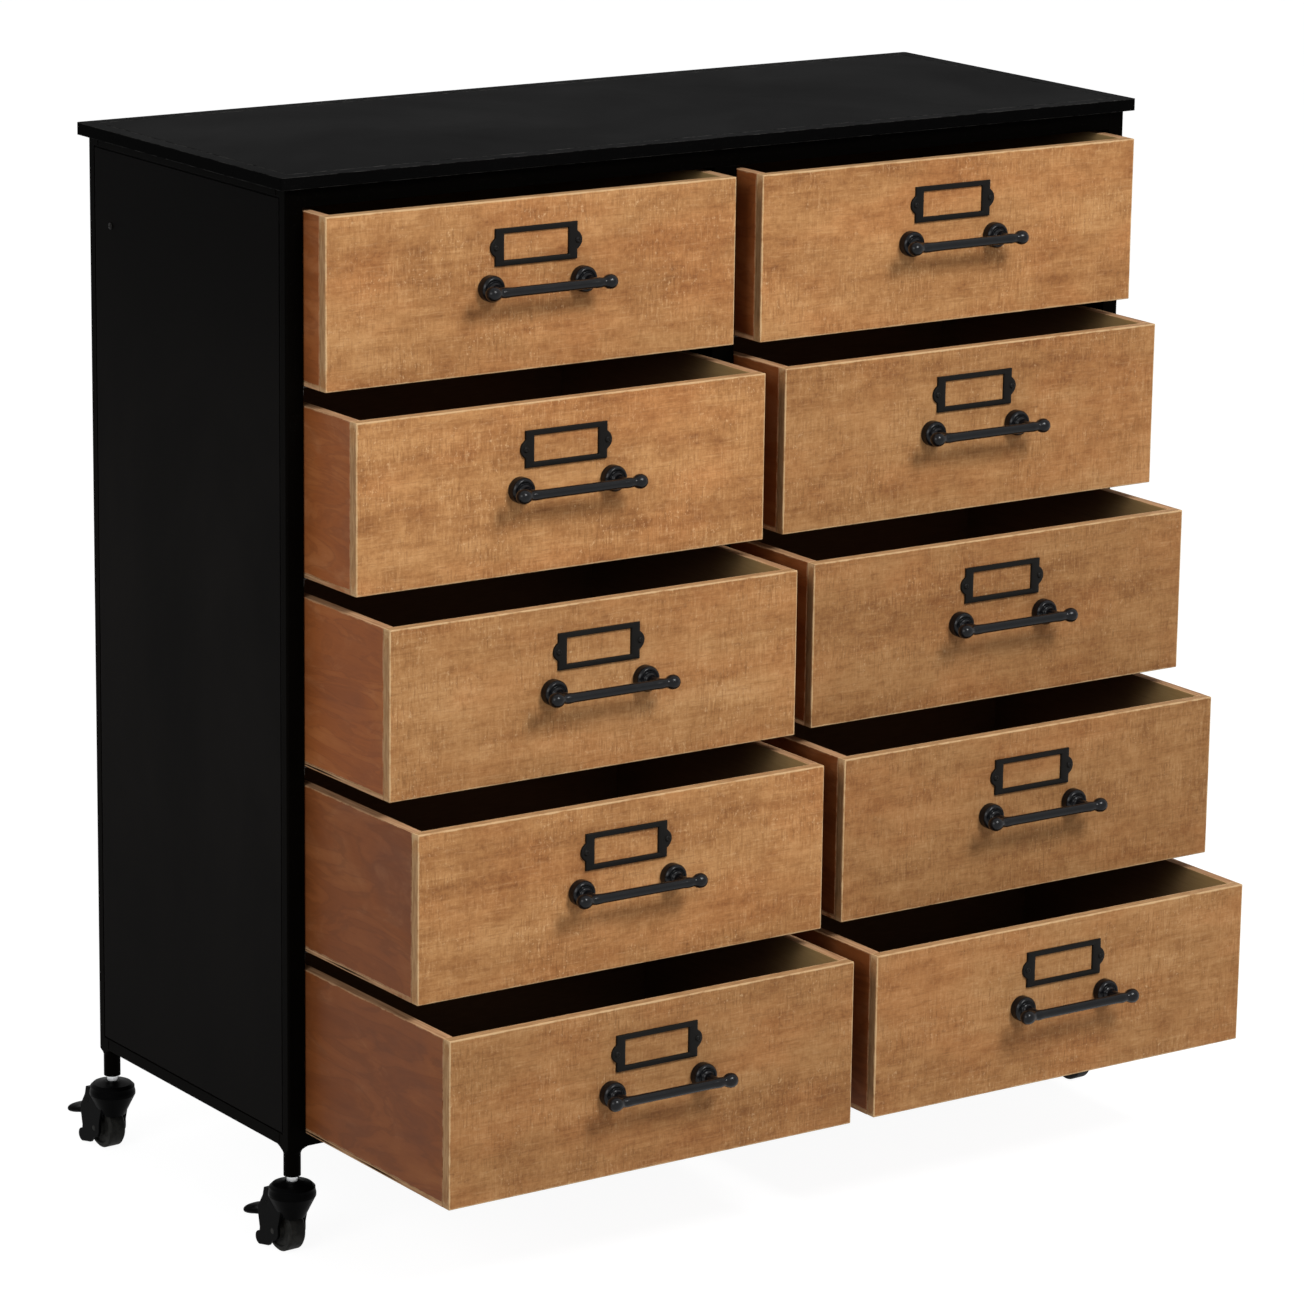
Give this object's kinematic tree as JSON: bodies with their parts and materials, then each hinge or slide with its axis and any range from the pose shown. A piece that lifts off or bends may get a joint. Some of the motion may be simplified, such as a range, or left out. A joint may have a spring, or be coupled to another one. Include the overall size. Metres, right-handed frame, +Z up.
{
  "type": "drawer cabinet on casters",
  "caption": "Black steel drawer cabinet on braked swivel casters, with two columns of wooden drawers that have bar pulls and card holders.",
  "frame": {"origin": "on the floor, below the middle of the cabinet body, half way between its sides and half way between its front and back", "axes": "+X to the right of someone facing the drawers, +Y from the drawer fronts to the back panel, +Z up"},
  "size_m": [0.9394, 0.6704, 0.9705],
  "materials": {
    "top_paint": "satin black paint, lightly worn edges",
    "frame_paint": "satin black paint",
    "panel_paint": "satin black paint, fine orange peel",
    "runner_metal": "black paint, rubbed bright where the drawers slide",
    "zinc": "bright zinc plate",
    "front_wood": "oiled plank, saw marks and a light worn edge",
    "box_wood": "stained plywood, pale raw edges",
    "pull_metal": "dark patinated cast metal",
    "label_metal": "dark stamped metal, edges rubbed",
    "caster_plastic": "moulded black nylon",
    "wheel_tread": "moulded nylon with a worn grey tread"
  },
  "bodies": {
    "cabinet": {"top_panel": "top_paint", "frame": "frame_paint", "side_panels": "panel_paint", "back_panel": "panel_paint", "bottom_panel": "panel_paint", "centre_divider": "frame_paint", "drawer_runners": "runner_metal", "caster_stems": "zinc"},
    "drawer_left_1": {"front_left_1": "front_wood", "box_left_1": "box_wood", "pull_left_1": "pull_metal", "label_left_1": "label_metal"},
    "drawer_left_2": {"front_left_2": "front_wood", "box_left_2": "box_wood", "pull_left_2": "pull_metal", "label_left_2": "label_metal"},
    "drawer_left_3": {"front_left_3": "front_wood", "box_left_3": "box_wood", "pull_left_3": "pull_metal", "label_left_3": "label_metal"},
    "drawer_left_4": {"front_left_4": "front_wood", "box_left_4": "box_wood", "pull_left_4": "pull_metal", "label_left_4": "label_metal"},
    "drawer_left_5": {"front_left_5": "front_wood", "box_left_5": "box_wood", "pull_left_5": "pull_metal", "label_left_5": "label_metal"},
    "drawer_right_1": {"front_right_1": "front_wood", "box_right_1": "box_wood", "pull_right_1": "pull_metal", "label_right_1": "label_metal"},
    "drawer_right_2": {"front_right_2": "front_wood", "box_right_2": "box_wood", "pull_right_2": "pull_metal", "label_right_2": "label_metal"},
    "drawer_right_3": {"front_right_3": "front_wood", "box_right_3": "box_wood", "pull_right_3": "pull_metal", "label_right_3": "label_metal"},
    "drawer_right_4": {"front_right_4": "front_wood", "box_right_4": "box_wood", "pull_right_4": "pull_metal", "label_right_4": "label_metal"},
    "drawer_right_5": {"front_right_5": "front_wood", "box_right_5": "box_wood", "pull_right_5": "pull_metal", "label_right_5": "label_metal"},
    "caster_front_left": {"fork_front_left": "caster_plastic"},
    "wheel_front_left": {"wheel_front_left": "wheel_tread"},
    "pedal_front_left": {"pedal_front_left": "caster_plastic"},
    "caster_front_right": {"fork_front_right": "caster_plastic"},
    "wheel_front_right": {"wheel_front_right": "wheel_tread"},
    "pedal_front_right": {"pedal_front_right": "caster_plastic"},
    "caster_rear_left": {"fork_rear_left": "caster_plastic"},
    "wheel_rear_left": {"wheel_rear_left": "wheel_tread"},
    "pedal_rear_left": {"pedal_rear_left": "caster_plastic"},
    "caster_rear_right": {"fork_rear_right": "caster_plastic"},
    "wheel_rear_right": {"wheel_rear_right": "wheel_tread"},
    "pedal_rear_right": {"pedal_rear_right": "caster_plastic"}
  },
  "joints": [
    {"name": "slide_left_1", "type": "slide", "parent": "cabinet", "child": "drawer_left_1", "axis": [0, -1, 0], "range_m": [-0.035, 0.235]},
    {"name": "slide_left_2", "type": "slide", "parent": "cabinet", "child": "drawer_left_2", "axis": [0, -1, 0], "range_m": [-0.085, 0.185]},
    {"name": "slide_left_3", "type": "slide", "parent": "cabinet", "child": "drawer_left_3", "axis": [0, -1, 0], "range_m": [-0.139, 0.131]},
    {"name": "slide_left_4", "type": "slide", "parent": "cabinet", "child": "drawer_left_4", "axis": [0, -1, 0], "range_m": [-0.185, 0.085]},
    {"name": "slide_left_5", "type": "slide", "parent": "cabinet", "child": "drawer_left_5", "axis": [0, -1, 0], "range_m": [-0.236, 0.034]},
    {"name": "slide_right_1", "type": "slide", "parent": "cabinet", "child": "drawer_right_1", "axis": [0, -1, 0], "range_m": [-0.039, 0.231]},
    {"name": "slide_right_2", "type": "slide", "parent": "cabinet", "child": "drawer_right_2", "axis": [0, -1, 0], "range_m": [-0.079, 0.191]},
    {"name": "slide_right_3", "type": "slide", "parent": "cabinet", "child": "drawer_right_3", "axis": [0, -1, 0], "range_m": [-0.128, 0.142]},
    {"name": "slide_right_4", "type": "slide", "parent": "cabinet", "child": "drawer_right_4", "axis": [0, -1, 0], "range_m": [-0.18, 0.09]},
    {"name": "slide_right_5", "type": "slide", "parent": "cabinet", "child": "drawer_right_5", "axis": [0, -1, 0], "range_m": [-0.235, 0.035]},
    {"name": "swivel_front_left", "type": "hinge", "parent": "cabinet", "child": "caster_front_left", "pos_m": [-0.44825, -0.1645, 0.06], "axis": [0, 0, 1], "continuous": true},
    {"name": "roll_front_left", "type": "hinge", "parent": "caster_front_left", "child": "wheel_front_left", "pos_m": [-0.44877, -0.15451, 0.02], "axis": [-0.9986, -0.0523, 0], "continuous": true},
    {"name": "brake_front_left", "type": "hinge", "parent": "caster_front_left", "child": "pedal_front_left", "pos_m": [-0.44924, -0.14553, 0.045], "axis": [-0.9986, -0.0523, 0], "range_deg": [0, 5]},
    {"name": "swivel_front_right", "type": "hinge", "parent": "cabinet", "child": "caster_front_right", "pos_m": [0.44825, -0.1645, 0.06], "axis": [0, 0, 1], "continuous": true},
    {"name": "roll_front_right", "type": "hinge", "parent": "caster_front_right", "child": "wheel_front_right", "pos_m": [0.44773, -0.15451, 0.02], "axis": [-0.9986, -0.0523, 0], "continuous": true},
    {"name": "brake_front_right", "type": "hinge", "parent": "caster_front_right", "child": "pedal_front_right", "pos_m": [0.44726, -0.14553, 0.045], "axis": [-0.9986, -0.0523, 0], "range_deg": [0, 5]},
    {"name": "swivel_rear_left", "type": "hinge", "parent": "cabinet", "child": "caster_rear_left", "pos_m": [-0.44825, 0.1645, 0.06], "axis": [0, 0, 1], "continuous": true},
    {"name": "roll_rear_left", "type": "hinge", "parent": "caster_rear_left", "child": "wheel_rear_left", "pos_m": [-0.44877, 0.17449, 0.02], "axis": [-0.9986, -0.0523, 0], "continuous": true},
    {"name": "brake_rear_left", "type": "hinge", "parent": "caster_rear_left", "child": "pedal_rear_left", "pos_m": [-0.44924, 0.18347, 0.045], "axis": [-0.9986, -0.0523, 0], "range_deg": [0, 5]},
    {"name": "swivel_rear_right", "type": "hinge", "parent": "cabinet", "child": "caster_rear_right", "pos_m": [0.44825, 0.1645, 0.06], "axis": [0, 0, 1], "continuous": true},
    {"name": "roll_rear_right", "type": "hinge", "parent": "caster_rear_right", "child": "wheel_rear_right", "pos_m": [0.44773, 0.17449, 0.02], "axis": [-0.9986, -0.0523, 0], "continuous": true},
    {"name": "brake_rear_right", "type": "hinge", "parent": "caster_rear_right", "child": "pedal_rear_right", "pos_m": [0.44726, 0.18347, 0.045], "axis": [-0.9986, -0.0523, 0], "range_deg": [0, 5]}
  ]
}
